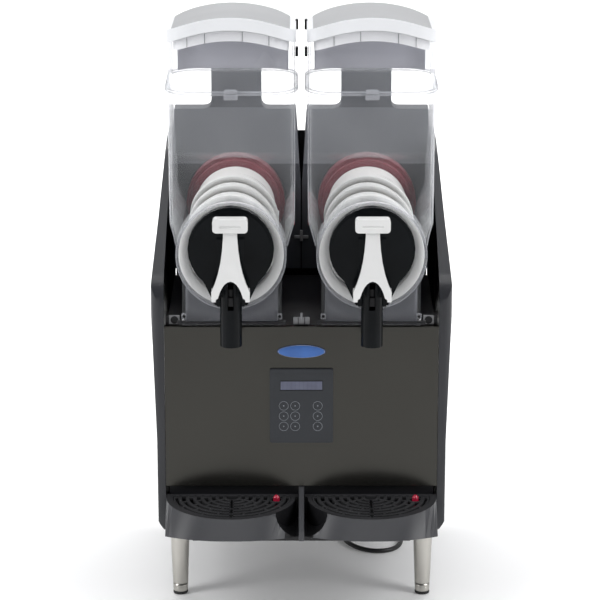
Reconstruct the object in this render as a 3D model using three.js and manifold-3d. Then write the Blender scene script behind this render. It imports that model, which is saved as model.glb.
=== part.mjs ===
// Twin-bowl countertop slush machine, in millimetres, +Z up, front towards -Y.
// The origin is on the floor under the middle of the machine.
import * as THREE from "three";
import { mergeVertices } from "three/addons/utils/BufferGeometryUtils.js";
import Module from "manifold-3d";

const wasm = await Module();
wasm.setup();

// ---- Driving dimensions ----
const HALF_WIDTH = 208;
const BACK_Y = 250;
const PANEL_Y = -150;
const PANEL_HALF = 189.6;
const PANEL_BOTTOM = 179;
const DECK_Z = 413;
const BASE_Z = 109;
const SHEET = 3;
const GAP = 0.4;
const BOWL_X = 96;
const BOWL_HALF = 87;
const BOWL_WALL = 3.2;
const BOWL_FRONT = PANEL_Y - 20;
const BOWL_BACK = PANEL_Y + 286;
const MOUTH_FRONT = PANEL_Y + 20;
const MOUTH_BACK = PANEL_Y + 182;
const FLANGE_Z = 736;
const AXIS_Z = 518;
const RING_R = 75.8;
const SKIRT_HALF = 68;
const TOWER_Y = PANEL_Y + 300;
const EVAPORATOR_R = 50;
const SHAFT_R = 6;
const DISC_R = 58.7;
const DISC_Z = 531;
const SPOUT_HALF = 15;
const SPOUT_BOTTOM = 398;
const SPOUT_Y = PANEL_Y - 50;
const LEVER_PIVOT_Z = 473;
const LEVER_PIVOT_Y = SPOUT_Y + 4;
const SPOUT_AXIS_Y = SPOUT_Y + 8;
const FEED_Z = 465;
const PISTON_LOW = 456;
const TRAY_X = 97;
const TRAY_HALF = 92;
const TRAY_TOP = 166;
const TRAY_BOTTOM = 134;
const GRILLE_R = 82;
const LEG_X = 173;
const LEG_Y = 100;
const LEG_R = 14.2;
const TOE_TOP = 16;
const CORD_R = 3.5;

const SIDES = [
  ["left", -1],
  ["right", 1],
];
const ROUND = 28;
const TURN = 2 * Math.PI;

// ---- Solids ----
function solid(geometry) {
  const bare = geometry.index ? geometry.toNonIndexed() : geometry.clone();
  bare.deleteAttribute("normal");
  bare.deleteAttribute("uv");
  const merged = mergeVertices(bare, 1e-3);
  const mesh = new wasm.Mesh({
    numProp: 3,
    vertProperties: merged.attributes.position.array,
    triVerts: new Uint32Array(merged.index.array),
  });
  return new wasm.Manifold(mesh);
}

function geometryOf(body) {
  const mesh = body.getMesh();
  const geometry = new THREE.BufferGeometry();
  const points = new Float32Array(mesh.vertProperties);
  geometry.setAttribute("position", new THREE.BufferAttribute(points, 3));
  geometry.setIndex(Array.from(mesh.triVerts));
  geometry.computeVertexNormals();
  return geometry;
}

function box(x0, x1, y0, y1, z0, z1) {
  const geometry = new THREE.BoxGeometry(x1 - x0, y1 - y0, z1 - z0);
  geometry.translate((x0 + x1) / 2, (y0 + y1) / 2, (z0 + z1) / 2);
  return solid(geometry);
}

function cylinderZ(radius, x, y, z0, z1, sides = ROUND) {
  const geometry = new THREE.CylinderGeometry(radius, radius, z1 - z0, sides);
  geometry.rotateX(Math.PI / 2);
  geometry.translate(x, y, (z0 + z1) / 2);
  return solid(geometry);
}

function cylinderY(radius, x, y0, y1, z, sides = ROUND) {
  const geometry = new THREE.CylinderGeometry(radius, radius, y1 - y0, sides);
  geometry.translate(x, (y0 + y1) / 2, z);
  return solid(geometry);
}

function cylinderX(radius, x0, x1, y, z, sides = ROUND) {
  const geometry = new THREE.CylinderGeometry(radius, radius, x1 - x0, sides);
  geometry.rotateZ(Math.PI / 2);
  geometry.translate((x0 + x1) / 2, y, z);
  return solid(geometry);
}

function shapeOf(points) {
  return new THREE.Shape(points.map(([u, v]) => new THREE.Vector2(u, v)));
}

function extrude(shape, depth, steps = 10) {
  const options = { depth, bevelEnabled: false, curveSegments: steps };
  return new THREE.ExtrudeGeometry(shape, options);
}

// A plan outline (x, y) raised from z0 to z1.
function raised(shape, z0, z1, steps) {
  const geometry = extrude(shape, z1 - z0, steps);
  geometry.translate(0, 0, z0);
  return solid(geometry);
}

// A front outline (x, z) swept from y0 to y1.
function sweptY(shape, y0, y1, steps) {
  const geometry = extrude(shape, y1 - y0, steps);
  geometry.rotateX(Math.PI / 2);
  geometry.translate(0, y1, 0);
  return solid(geometry);
}

// A side outline (y, z) swept from x0 to x1.
function sweptX(shape, x0, x1, steps) {
  const geometry = extrude(shape, x1 - x0, steps);
  geometry.rotateX(Math.PI / 2);
  geometry.rotateZ(Math.PI / 2);
  geometry.translate(x0, 0, 0);
  return solid(geometry);
}

function roundedRect(x0, x1, y0, y1, radius) {
  const shape = new THREE.Shape();
  shape.moveTo(x0 + radius, y0);
  shape.lineTo(x1 - radius, y0);
  shape.absarc(x1 - radius, y0 + radius, radius, -Math.PI / 2, 0, false);
  shape.lineTo(x1, y1 - radius);
  shape.absarc(x1 - radius, y1 - radius, radius, 0, Math.PI / 2, false);
  shape.lineTo(x0 + radius, y1);
  shape.absarc(x0 + radius, y1 - radius, radius, Math.PI / 2, Math.PI, false);
  shape.lineTo(x0, y0 + radius);
  shape.absarc(x0 + radius, y0 + radius, radius, Math.PI, 1.5 * Math.PI, false);
  return shape;
}

// A closed (radius, z) profile turned about a vertical axis at (x, y).
function turned(profile, x, y, sides = ROUND) {
  const points = profile.map(([r, z]) => new THREE.Vector2(r, z));
  const geometry = new THREE.LatheGeometry(points, sides);
  geometry.rotateX(Math.PI / 2);
  geometry.translate(x, y, 0);
  return solid(geometry);
}

// ---- Materials ----
const FINISH = {
  panel: [0x4a4945, 0.35, 0.3],
  shell: [0x3c3d40, 0.4, 0.1],
  black: [0x17181a, 0.35, 0.0],
  grey: [0x55575c, 0.6, 0.0],
  steel: [0xc9c6bf, 0.28, 1.0],
  white: [0xf0f0ee, 0.35, 0.0],
  opal: [0xe4e5e8, 0.45, 0.0],
  clear: [0xe9edf2, 0.05, 0.0],
  red: [0x7e1f2a, 0.6, 0.0],
  copper: [0x8d5a3c, 0.45, 0.8],
  rubber: [0x202124, 0.8, 0.0],
};

const machine = new THREE.Group();

function add(name, body, finish) {
  const [color, roughness, metalness] = FINISH[finish];
  const geometry = body.isBufferGeometry ? body : geometryOf(body);
  const material = new THREE.MeshStandardMaterial({ color, roughness, metalness });
  const mesh = new THREE.Mesh(geometry, material);
  mesh.name = name;
  machine.add(mesh);
}

// ---- Chassis ----
function basePan() {
  const outer = box(-186, 186, PANEL_Y + 6, BACK_Y - 4, BASE_Z + 1, BASE_Z + 26);
  const inner = box(-183, 183, PANEL_Y + 9, BACK_Y - 7, BASE_Z + 1 + SHEET, BASE_Z + 27);
  const shelf = box(-150, 150, PANEL_Y - 78, PANEL_Y + 8, BASE_Z + 18, BASE_Z + 24);
  const wall = box(-185, 185, PANEL_Y + 6.4, PANEL_Y + 9.4, BASE_Z + 10, DECK_Z - 14);
  return outer.subtract(inner).add(shelf).add(wall);
}

function trayDivider() {
  const side = shapeOf([
    [PANEL_Y + 5.6, BASE_Z + 27],
    [PANEL_Y + 5.6, PANEL_BOTTOM - 1],
    [PANEL_Y - 6, PANEL_BOTTOM - 1],
    [PANEL_Y - 98, 147],
    [PANEL_Y - 98, BASE_Z + 24.4],
    [PANEL_Y, BASE_Z + 24.4],
  ]);
  return sweptX(side, -3.8, 3.8);
}

function frontPanel() {
  const plate = box(-PANEL_HALF, PANEL_HALF, PANEL_Y, PANEL_Y + SHEET, PANEL_BOTTOM, DECK_Z - 1);
  const topLip = box(-PANEL_HALF, PANEL_HALF, PANEL_Y, PANEL_Y + 9, DECK_Z - 4, DECK_Z - 1);
  const window = box(-40, 40, PANEL_Y - 1, PANEL_Y + 4, 249, 347);
  return plate.add(topLip).subtract(window);
}

// The shell's outer face bulges out at the level of the deck and leans in towards the top.
const SHELL_FACE = [
  [192, BASE_Z],
  [201, 126],
  [201.5, 245],
  [206, 380],
  [HALF_WIDTH, 425],
  [HALF_WIDTH, 465],
  [202.5, 530],
  [197, 612],
];

function shellOutline(inset) {
  const front = PANEL_Y + 1 + inset;
  const back = BACK_Y - inset;
  const top = 606 - inset;
  const shape = new THREE.Shape();
  shape.moveTo(front + 16, BASE_Z + inset);
  shape.quadraticCurveTo(front, BASE_Z + inset, front, BASE_Z + 22);
  shape.lineTo(front, 440);
  shape.quadraticCurveTo(front, 468, front + 26, 482);
  shape.lineTo(front + 270, top - 14);
  shape.quadraticCurveTo(front + 300, top, front + 330, top);
  shape.lineTo(back, top);
  shape.lineTo(back, BASE_Z + inset);
  return shape;
}

function sideShell() {
  const inner = PANEL_HALF + GAP;
  const face = (inset) => SHELL_FACE.map(([x, z]) => [x - inset, z]);
  const skin = shapeOf([[inner, BASE_Z], ...face(0), [inner, 612]]);
  const hollow = shapeOf([[inner - 1, BASE_Z], ...face(SHEET), [inner - 1, 612]]);
  const body = sweptY(skin, PANEL_Y, BACK_Y).intersect(sweptX(shellOutline(0), 180, 215, 6));
  const room = sweptY(hollow, PANEL_Y, BACK_Y).intersect(sweptX(shellOutline(6), 180, 215, 4));
  const corner = roundedRect(150, HALF_WIDTH + 0.5, PANEL_Y + 0.8, BACK_Y + 60, 14);
  return body.subtract(room).intersect(raised(corner, BASE_Z - 1, 620, 5));
}

function deck() {
  const plate = box(-187, 187, PANEL_Y + 10, TOWER_Y - 1, DECK_Z - 13, DECK_Z - 10);
  const rail = (x) => box(x - 9, x + 9, PANEL_Y + 10, PANEL_Y + 24, DECK_Z - 10.5, DECK_Z + 11);
  return plate.add(rail(0)).add(rail(178.5)).add(rail(-178.5));
}

// A rear tower stands behind each bowl; its front leans back and ends in the lamp's neck.
function tower() {
  const side = shapeOf([
    [TOWER_Y, DECK_Z],
    [TOWER_Y, 572],
    [TOWER_Y + 66, 642],
    [TOWER_Y + 66, 752],
    [TOWER_Y + 84, 752],
    [TOWER_Y + 96, 640],
    [TOWER_Y + 96, DECK_Z],
  ]);
  const front = new THREE.Shape();
  const neck = 37;
  const fillet = 12;
  front.moveTo(-92, DECK_Z);
  front.lineTo(-92, 640);
  front.lineTo(-neck - fillet, 640);
  front.quadraticCurveTo(-neck, 640, -neck, 640 + fillet);
  front.lineTo(-neck, 752);
  front.lineTo(neck, 752);
  front.lineTo(neck, 640 + fillet);
  front.quadraticCurveTo(neck, 640, neck + fillet, 640);
  front.lineTo(88, 640);
  front.lineTo(95, 545);
  front.lineTo(95, DECK_Z);
  const body = sweptX(side, -93, 96).intersect(sweptY(front, TOWER_Y - 1, TOWER_Y + 97, 5));
  const room = box(-88, 84, TOWER_Y + 5, TOWER_Y + 97, DECK_Z + 6, 560);
  const bore = cylinderY(12, 0, TOWER_Y - 2, TOWER_Y + 10, AXIS_Z, 20);
  return body.subtract(room).subtract(bore);
}

function rearCover() {
  let cover = box(-189, 189, BACK_Y - 3, BACK_Y, BASE_Z + 28, 600);
  for (let row = 0; row < 8; row += 1) {
    const z = 170 + row * 22;
    for (const x of [-95, 95]) {
      cover = cover.subtract(box(x - 75, x + 75, BACK_Y - 4, BACK_Y + 1, z, z + 9));
    }
  }
  const gland = cylinderY(9, 40, BACK_Y - 4, BACK_Y + 1, 148, 16);
  return cover.subtract(gland);
}

function leg() {
  return [
    [0, 34],
    [6.4, 34],
    [6.4, TOE_TOP + GAP],
    [LEG_R - 3.3, TOE_TOP + GAP],
    [LEG_R, BASE_Z + 0.4],
    [0, BASE_Z + 0.4],
  ];
}

function toe() {
  return [
    [0, 0],
    [9.6, 0],
    [10.6, 2],
    [10.8, TOE_TOP],
    [5.6, TOE_TOP],
    [5.6, 32],
    [0, 32],
  ];
}

add("base_pan", basePan(), "black");
add("tray_divider", trayDivider(), "panel");
add("front_panel", frontPanel(), "panel");
add("bowl_deck", deck(), "black");
add("rear_cover", rearCover(), "black");
const shell = sideShell();
add("side_shell_right", shell, "shell");
add("side_shell_left", shell.mirror([1, 0, 0]), "shell");
add("tower_left", tower().translate(-BOWL_X, 0, 0), "grey");
add("tower_right", tower().mirror([1, 0, 0]).translate(BOWL_X, 0, 0), "grey");
for (const [side, sign] of SIDES) {
  for (const [end, y] of [["front", -LEG_Y], ["rear", LEG_Y + 90]]) {
    add(`leg_${end}_${side}`, turned(leg(), sign * LEG_X, y, 16), "steel");
    add(`leg_toe_${end}_${side}`, turned(toe(), sign * LEG_X, y, 16), "rubber");
  }
}

// ---- Bowl, lid and tap; each is made about its own bowl's middle plane ----
function bowlFront(inset) {
  const radius = RING_R - inset;
  const half = BOWL_HALF - inset;
  const shape = new THREE.Shape();
  shape.moveTo(-radius, AXIS_Z);
  shape.absarc(0, AXIS_Z, radius, Math.PI, TURN, false);
  shape.lineTo(half, AXIS_Z + 30);
  shape.lineTo(half, FLANGE_Z + inset);
  shape.lineTo(-half, FLANGE_Z + inset);
  shape.lineTo(-half, AXIS_Z + 30);
  return shape;
}

function bowlSide(inset) {
  const rear = BOWL_BACK - inset;
  return shapeOf([
    [MOUTH_FRONT + inset, AXIS_Z - RING_R + inset],
    [rear, AXIS_Z - RING_R + inset],
    [rear, AXIS_Z + 66 - inset],
    [rear - 34, AXIS_Z + 82 - inset],
    [MOUTH_BACK - inset, AXIS_Z + 158 - inset],
    [MOUTH_BACK - inset, FLANGE_Z + inset],
    [MOUTH_FRONT + inset, FLANGE_Z + inset],
  ]);
}

function bowlPlan(inset) {
  return roundedRect(
    inset - BOWL_HALF,
    BOWL_HALF - inset,
    MOUTH_FRONT + inset,
    BOWL_BACK + 60,
    40 - inset,
  );
}

function bowlVolume(inset) {
  const body = sweptY(bowlFront(inset), MOUTH_FRONT, BOWL_BACK + 1, 10)
    .intersect(sweptX(bowlSide(inset), -95, 95))
    .intersect(raised(bowlPlan(inset), 430, FLANGE_Z + 5, 4));
  const ringBack = BOWL_BACK + (inset > 0 ? 1 : 0);
  const ring = cylinderY(RING_R - inset, 0, BOWL_FRONT + inset, ringBack, AXIS_Z, ROUND);
  return body.add(ring);
}

function bowl() {
  const flange = raised(
    roundedRect(-91, 91, MOUTH_FRONT - 4, MOUTH_BACK + 4, 42),
    FLANGE_Z - 3,
    FLANGE_Z,
    4,
  );
  const skirt = box(-SKIRT_HALF, SKIRT_HALF, PANEL_Y + 2, BOWL_BACK - 24, DECK_Z + 0.5, AXIS_Z - 22);
  const drum = cylinderY(RING_R - 1, 0, PANEL_Y - 30, BOWL_BACK + 9, AXIS_Z);
  const under = box(
    BOWL_WALL - SKIRT_HALF,
    SKIRT_HALF - BOWL_WALL,
    PANEL_Y + 2 + BOWL_WALL,
    BOWL_BACK,
    DECK_Z,
    AXIS_Z - 20,
  );
  const hole = cylinderY(9, 0, BOWL_FRONT - 2, BOWL_FRONT + 6, FEED_Z, 16);
  const catchNub = box(-9, 9, MOUTH_FRONT - 9, MOUTH_FRONT - 3, FLANGE_Z - 8, FLANGE_Z);
  return bowlVolume(0)
    .add(flange)
    .add(catchNub)
    .add(skirt.subtract(under.subtract(drum)))
    .subtract(bowlVolume(BOWL_WALL))
    .subtract(hole);
}

// The lid is vaulted from side to side and falls a little towards the back.
const CROWN = 20;
const LID_FALL = 12;

function vault(crownZ, y0, y1) {
  const radius = (BOWL_HALF * BOWL_HALF + CROWN * CROWN) / (2 * CROWN);
  const reach = Math.asin((BOWL_HALF + 4) / radius);
  const shape = new THREE.Shape();
  const turn = Math.PI / 2;
  shape.moveTo(-(BOWL_HALF + 4), FLANGE_Z - 60);
  shape.lineTo(BOWL_HALF + 4, FLANGE_Z - 60);
  shape.absarc(0, crownZ - radius, radius, turn - reach, turn + reach, false);
  const body = sweptY(shape, y0 - (y0 + y1) / 2, y1 - (y0 + y1) / 2, 8);
  const slope = (Math.atan(LID_FALL / (y1 - y0)) * 180) / Math.PI;
  return body
    .translate(0, 0, -crownZ)
    .rotate([-slope, 0, 0])
    .translate(0, (y0 + y1) / 2, crownZ - LID_FALL / 2);
}

const LID_Y0 = MOUTH_FRONT - 30;
const LID_Y1 = MOUTH_BACK + 40;

function lidPlan(inset) {
  return roundedRect(
    inset - BOWL_HALF - 1,
    BOWL_HALF + 1 - inset,
    MOUTH_FRONT - 1 + inset,
    MOUTH_BACK + 1 - inset,
    40 - inset,
  );
}

function lidHood() {
  const wall = raised(lidPlan(1), FLANGE_Z + 0.5, 860, 4);
  const room = raised(lidPlan(3.6), FLANGE_Z - 1, 861, 4);
  const rim = raised(
    roundedRect(-91, 91, MOUTH_FRONT - 4, MOUTH_BACK + 4, 42),
    FLANGE_Z + 0.5,
    FLANGE_Z + 3,
    4,
  );
  const tab = box(-8, 8, MOUTH_FRONT - 9, MOUTH_FRONT - 3, FLANGE_Z + 0.5, FLANGE_Z + 6);
  return wall.add(rim).add(tab).subtract(room).intersect(vault(823, LID_Y0, LID_Y1));
}

function lidCap() {
  const outer = raised(lidPlan(-0.6), 780, 870, 4).intersect(vault(841.5, LID_Y0, LID_Y1));
  const inner = raised(lidPlan(4), 779, 870, 4).intersect(vault(838, LID_Y0, LID_Y1));
  return outer.subtract(inner).subtract(vault(823.5, LID_Y0, LID_Y1));
}

function lidLamp() {
  const band = raised(lidPlan(9), 770, 860, 4).intersect(vault(822, LID_Y0, LID_Y1));
  return band.subtract(vault(808, LID_Y0, LID_Y1));
}

// The tap's black cover is a disc that narrows to the spout.
function tapDiscOutline(inset) {
  const low = (-50 * Math.PI) / 180;
  const shape = new THREE.Shape();
  shape.moveTo(inset - 22, 452 + inset);
  shape.lineTo(22 - inset, 452 + inset);
  shape.absarc(0, DISC_Z, DISC_R - inset, low, Math.PI - low, false);
  return shape;
}

function tapBody() {
  const disc = sweptY(tapDiscOutline(0), BOWL_FRONT - 13, BOWL_FRONT - 0.5, 11);
  const step = sweptY(tapDiscOutline(4), BOWL_FRONT - 17, BOWL_FRONT - 10, 11);
  const boss = box(-19, 19, BOWL_FRONT - 24, BOWL_FRONT - 12.3, 453.5, 548);
  const spout = cylinderZ(SPOUT_HALF, 0, SPOUT_AXIS_Y, SPOUT_BOTTOM, 500, 20);
  const bore = cylinderZ(11, 0, SPOUT_AXIS_Y, SPOUT_BOTTOM - 1, 496, 16);
  const feed = cylinderY(7, 0, SPOUT_AXIS_Y + 0.7, BOWL_FRONT + 1, FEED_Z, 14);
  const slot = box(-4, 4, SPOUT_Y - 9, SPOUT_Y + 1.6, 451.3, 489.7);
  const trunnions = cylinderX(3, -25, 25, LEVER_PIVOT_Y, LEVER_PIVOT_Z, 16);
  return disc.add(step).add(boss).add(spout).add(trunnions).subtract(bore).subtract(feed).subtract(slot);
}

function leverOutline() {
  const foot = 26;
  const shape = new THREE.Shape();
  shape.moveTo(-foot, LEVER_PIVOT_Z - 7);
  shape.lineTo(-17, LEVER_PIVOT_Z - 2);
  shape.quadraticCurveTo(-11, LEVER_PIVOT_Z + 21, 0, LEVER_PIVOT_Z + 22);
  shape.quadraticCurveTo(11, LEVER_PIVOT_Z + 21, 17, LEVER_PIVOT_Z - 2);
  shape.lineTo(foot, LEVER_PIVOT_Z - 7);
  shape.lineTo(foot, LEVER_PIVOT_Z + 7);
  shape.quadraticCurveTo(12, LEVER_PIVOT_Z + 34, 9.5, LEVER_PIVOT_Z + 84);
  shape.lineTo(9.5, LEVER_PIVOT_Z + 92);
  shape.lineTo(-9.5, LEVER_PIVOT_Z + 92);
  shape.lineTo(-9.5, LEVER_PIVOT_Z + 84);
  shape.quadraticCurveTo(-12, LEVER_PIVOT_Z + 34, -foot, LEVER_PIVOT_Z + 7);
  return shape;
}

function tapLever() {
  const front = SPOUT_Y - 17;
  const stem = sweptY(leverOutline(), front, SPOUT_Y - 8.5, 5);
  const grip = sweptY(
    roundedRect(-23.8, 23.8, LEVER_PIVOT_Z + 90, LEVER_PIVOT_Z + 110, 5),
    front - 3,
    SPOUT_Y - 5,
    3,
  );
  const slot = box(-14, 14, front - 4, front - 2, LEVER_PIVOT_Z + 97.5, LEVER_PIVOT_Z + 100);
  const low = LEVER_PIVOT_Z - 7;
  let lever = stem.add(grip).subtract(slot);
  for (const x of [-26, 20]) {
    const cheek = box(x, x + 6, front, LEVER_PIVOT_Y, low, low + 14);
    const eye = cylinderX(7, x, x + 6, LEVER_PIVOT_Y, LEVER_PIVOT_Z, 20);
    lever = lever.add(cheek).add(eye);
  }
  return lever.subtract(cylinderX(3.4, -30, 30, LEVER_PIVOT_Y, LEVER_PIVOT_Z, 16));
}

function tapPiston() {
  const rod = cylinderZ(10.6, 0, SPOUT_AXIS_Y, PISTON_LOW, PISTON_LOW + 24, 24);
  const key = box(-3.2, 3.2, SPOUT_Y - 6, SPOUT_Y + 2, PISTON_LOW + 1, PISTON_LOW + 13);
  return rod.add(key);
}

function latchBar() {
  const rod = cylinderX(1.8, -SKIRT_HALF - 2, SKIRT_HALF + 2, PANEL_Y - 3, DECK_Z + 6, 10);
  const end = (x) => cylinderX(3.4, x - 3, x + 3, PANEL_Y - 3, DECK_Z + 6, 12);
  return rod.add(end(SKIRT_HALF + 4)).add(end(-SKIRT_HALF - 4));
}

// ---- Evaporator, auger and drive ----
function tubeY(outer, inner, y0, y1, sides = ROUND) {
  return cylinderY(outer, 0, y0, y1, AXIS_Z, sides).subtract(
    cylinderY(inner, 0, y0 - 1, y1 + 1, AXIS_Z, sides),
  );
}

// A ribbon of the given (radius, y) section wound about the auger's axis.
function ribbon(section, pitch, y0, turns, perTurn) {
  const count = Math.round(turns * perTurn);
  const sides = section.length;
  const points = [];
  for (let i = 0; i <= count; i += 1) {
    const angle = (TURN * i) / perTurn;
    const y = y0 + (pitch * i) / perTurn;
    for (const [r, dy] of section) {
      points.push(r * Math.cos(angle), y + dy, AXIS_Z + r * Math.sin(angle));
    }
  }
  const faces = [];
  for (let i = 0; i < count; i += 1) {
    const here = sides * i;
    for (let k = 0; k < sides; k += 1) {
      const next = (k + 1) % sides;
      faces.push(here + k, here + next, here + sides + k);
      faces.push(here + next, here + sides + next, here + sides + k);
    }
  }
  const outline = section.map(([r, dy]) => new THREE.Vector2(r, dy));
  const last = sides * count;
  for (const [i, j, k] of THREE.ShapeUtils.triangulateShape(outline, [])) {
    faces.push(i, k, j, last + i, last + j, last + k);
  }
  const geometry = new THREE.BufferGeometry();
  geometry.setAttribute("position", new THREE.Float32BufferAttribute(points, 3));
  geometry.setIndex(faces);
  return solid(geometry);
}

function auger() {
  const nose = PANEL_Y - 11;
  const turns = 4;
  const web = 46;
  const pitch = (BOWL_BACK - 18 - (nose + 10) - web) / turns;
  const section = [
    [52, 0],
    [64, 0],
    [64, 12],
    [57.5, 12],
    [57.5, web],
    [52, web],
  ];
  const screw = ribbon(section, pitch, nose + 10, turns, 14);
  let body = screw.add(tubeY(72, 58.5, nose, nose + 13, 28));
  for (let k = 0; k < 3; k += 1) {
    const spoke = box(8, 60, nose + 2, nose + 9, -5, 5).rotate([0, 120 * k + 30, 0]);
    body = body.add(spoke.translate(0, 0, AXIS_Z));
  }
  body = body.add(tubeY(57.5, 52, BOWL_BACK - 60, BOWL_BACK - 18));
  const hub = cylinderY(14, 0, nose + 1, nose + 16, AXIS_Z, 16);
  const socket = cylinderY(SHAFT_R + 0.4, 0, nose + 4, nose + 17, AXIS_Z, 12);
  return body.add(hub).subtract(socket);
}

// A thin drum with a front cap, on a sleeve round the shaft.
function evaporator() {
  const y0 = PANEL_Y + 8;
  const y1 = TOWER_Y - 0.4;
  const bore = SHAFT_R + 1.2;
  return tubeY(EVAPORATOR_R, EVAPORATOR_R - 8, y0, y1)
    .add(tubeY(EVAPORATOR_R - 4, bore, y0, y0 + 6))
    .add(tubeY(bore + 5, bore, y0, y1));
}

function gasket() {
  const nose = cylinderY(66, 0, BOWL_BACK - 15, BOWL_BACK, AXIS_Z);
  const lip = cylinderY(72, 0, BOWL_BACK - 8, TOWER_Y - 0.5, AXIS_Z);
  const bore = cylinderY(EVAPORATOR_R + 0.8, 0, BOWL_BACK - 16, TOWER_Y, AXIS_Z);
  return nose.add(lip).subtract(bore);
}

function driveShaft() {
  const rod = cylinderY(SHAFT_R, 0, PANEL_Y - 6, TOWER_Y + 60, AXIS_Z, 16);
  return rod.add(box(-2, 2, TOWER_Y + 40, TOWER_Y + 58, AXIS_Z, AXIS_Z + 8));
}

function gearMotor() {
  const gearbox = box(-42, 42, TOWER_Y + 12, TOWER_Y + 48, AXIS_Z - 42, AXIS_Z + 38);
  const mount = box(-60, 60, TOWER_Y + 5.4, TOWER_Y + 12.4, AXIS_Z - 30, AXIS_Z + 30);
  const motor = cylinderY(30, -8, TOWER_Y + 47, TOWER_Y + 88, AXIS_Z - 40, 28);
  const bore = cylinderY(9, 0, TOWER_Y, TOWER_Y + 62, AXIS_Z, 20);
  return gearbox.add(mount).add(motor).subtract(bore);
}

// ---- Refrigeration ----
const FAN_X = 75;
const FAN_Y = 178;
const FAN_Z = 245;

function compressor() {
  const z = BASE_Z + 1 + SHEET + 0.4;
  const can = [
    [0, z + 12],
    [58, z + 12],
    [62, z + 18],
    [62, z + 92],
    [54, z + 118],
    [30, z + 130],
    [0, z + 133],
  ];
  const plate = box(-160, -20, 20, 160, z, z + 13);
  return turned(can, -90, 90, 28).add(plate);
}

function condenser() {
  let block = box(FAN_X - 78, FAN_X + 78, 208, 240, 150, 340);
  for (let k = 0; k < 9; k += 1) {
    const x = FAN_X - 66 + k * 16.5;
    block = block.subtract(box(x - 2.5, x + 2.5, 206, 228, 158, 332));
  }
  const foot = box(FAN_X - 70, FAN_X + 70, 210, 236, BASE_Z + 4.4, 151);
  return block.add(foot);
}

function fanShroud() {
  const plate = box(FAN_X - 78, FAN_X + 78, 168, 207.6, 150, 340);
  const room = box(FAN_X - 75, FAN_X + 75, 171, 209, 153, 337);
  const mouth = cylinderY(73, FAN_X, 160, 175, FAN_Z, 32);
  const motorArm = box(FAN_X - 76, FAN_X + 76, 196, 202, FAN_Z - 8, FAN_Z + 8);
  const motor = cylinderY(20, FAN_X, 188, 206, FAN_Z, 24);
  const foot = box(FAN_X - 70, FAN_X + 70, 169, 200, BASE_Z + 4.4, 151);
  const pin = cylinderY(2.6, FAN_X, 176, 189, FAN_Z, 12);
  return plate.subtract(room).subtract(mouth).add(motorArm).add(motor).add(foot).add(pin);
}

function fanWheel() {
  let wheel = cylinderY(17, 0, -8, 8, 0, 24);
  const blades = 5;
  for (let k = 0; k < blades; k += 1) {
    const blade = box(14, 68, -1.2, 1.2, -17, 17).rotate([28, 0, 0]);
    wheel = wheel.add(blade.rotate([0, (360 * k) / blades, 0]));
  }
  return wheel.subtract(cylinderY(3.2, 0, -4, 9, 0, 16)).translate(FAN_X, FAN_Y, FAN_Z);
}

// ---- Drip trays ----
const TRAY_Y = PANEL_Y - 8;
const TRAY_BACK = PANEL_Y + 4;

// The tray's wall runs from a round rim to a nearly straight front at its foot.
function trayBlock() {
  const steps = 20;
  const bulge = 20;
  const rim = [];
  const foot = [];
  for (let i = 0; i <= steps; i += 1) {
    const angle = Math.PI * (i / steps - 0.5);
    const x = TRAY_HALF * Math.sin(angle);
    rim.push([x, TRAY_Y - TRAY_HALF * Math.cos(angle)]);
    foot.push([x * 0.99, TRAY_Y - TRAY_HALF + bulge * Math.pow(Math.abs(x / TRAY_HALF), 2.4)]);
  }
  rim.push([TRAY_HALF, TRAY_BACK], [-TRAY_HALF, TRAY_BACK]);
  foot.push([TRAY_HALF * 0.99, TRAY_BACK], [-TRAY_HALF * 0.99, TRAY_BACK]);
  const count = rim.length;
  const points = [];
  for (const [x, y] of rim) points.push(x, y, TRAY_TOP);
  for (const [x, y] of foot) points.push(x, y, TRAY_BOTTOM);
  points.push(0, TRAY_BACK - 2, TRAY_TOP, 0, TRAY_BACK - 2, TRAY_BOTTOM);
  const faces = [];
  for (let i = 0; i < count; i += 1) {
    const next = (i + 1) % count;
    faces.push(2 * count, i, next);
    faces.push(2 * count + 1, count + next, count + i);
    faces.push(i, count + i, next, next, count + i, count + next);
  }
  const geometry = new THREE.BufferGeometry();
  geometry.setAttribute("position", new THREE.Float32BufferAttribute(points, 3));
  geometry.setIndex(faces);
  return solid(geometry);
}

function trayDisc(radius, z0, z1) {
  const back = box(-radius, radius, TRAY_Y - radius - 1, TRAY_BACK - 5.5, z0, z1);
  return cylinderZ(radius, 0, TRAY_Y, z0, z1, 36).intersect(back);
}

// innerX is where the middle of the machine lies in the tray's own frame.
function dripTray(innerX) {
  const scoop = cylinderY(36, innerX, -262, TRAY_Y, 169, 32);
  const keep = cylinderZ(GRILLE_R + 7, 0, TRAY_Y, 120, 180, 36);
  return trayBlock()
    .subtract(trayDisc(GRILLE_R + 1, TRAY_TOP - 5, TRAY_TOP + 1))
    .subtract(trayDisc(GRILLE_R - 5, TRAY_BOTTOM + 4, TRAY_TOP))
    .subtract(scoop.subtract(keep));
}

const FLOAT_X = 62;
const FLOAT_Y = TRAY_Y - 12;

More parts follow.
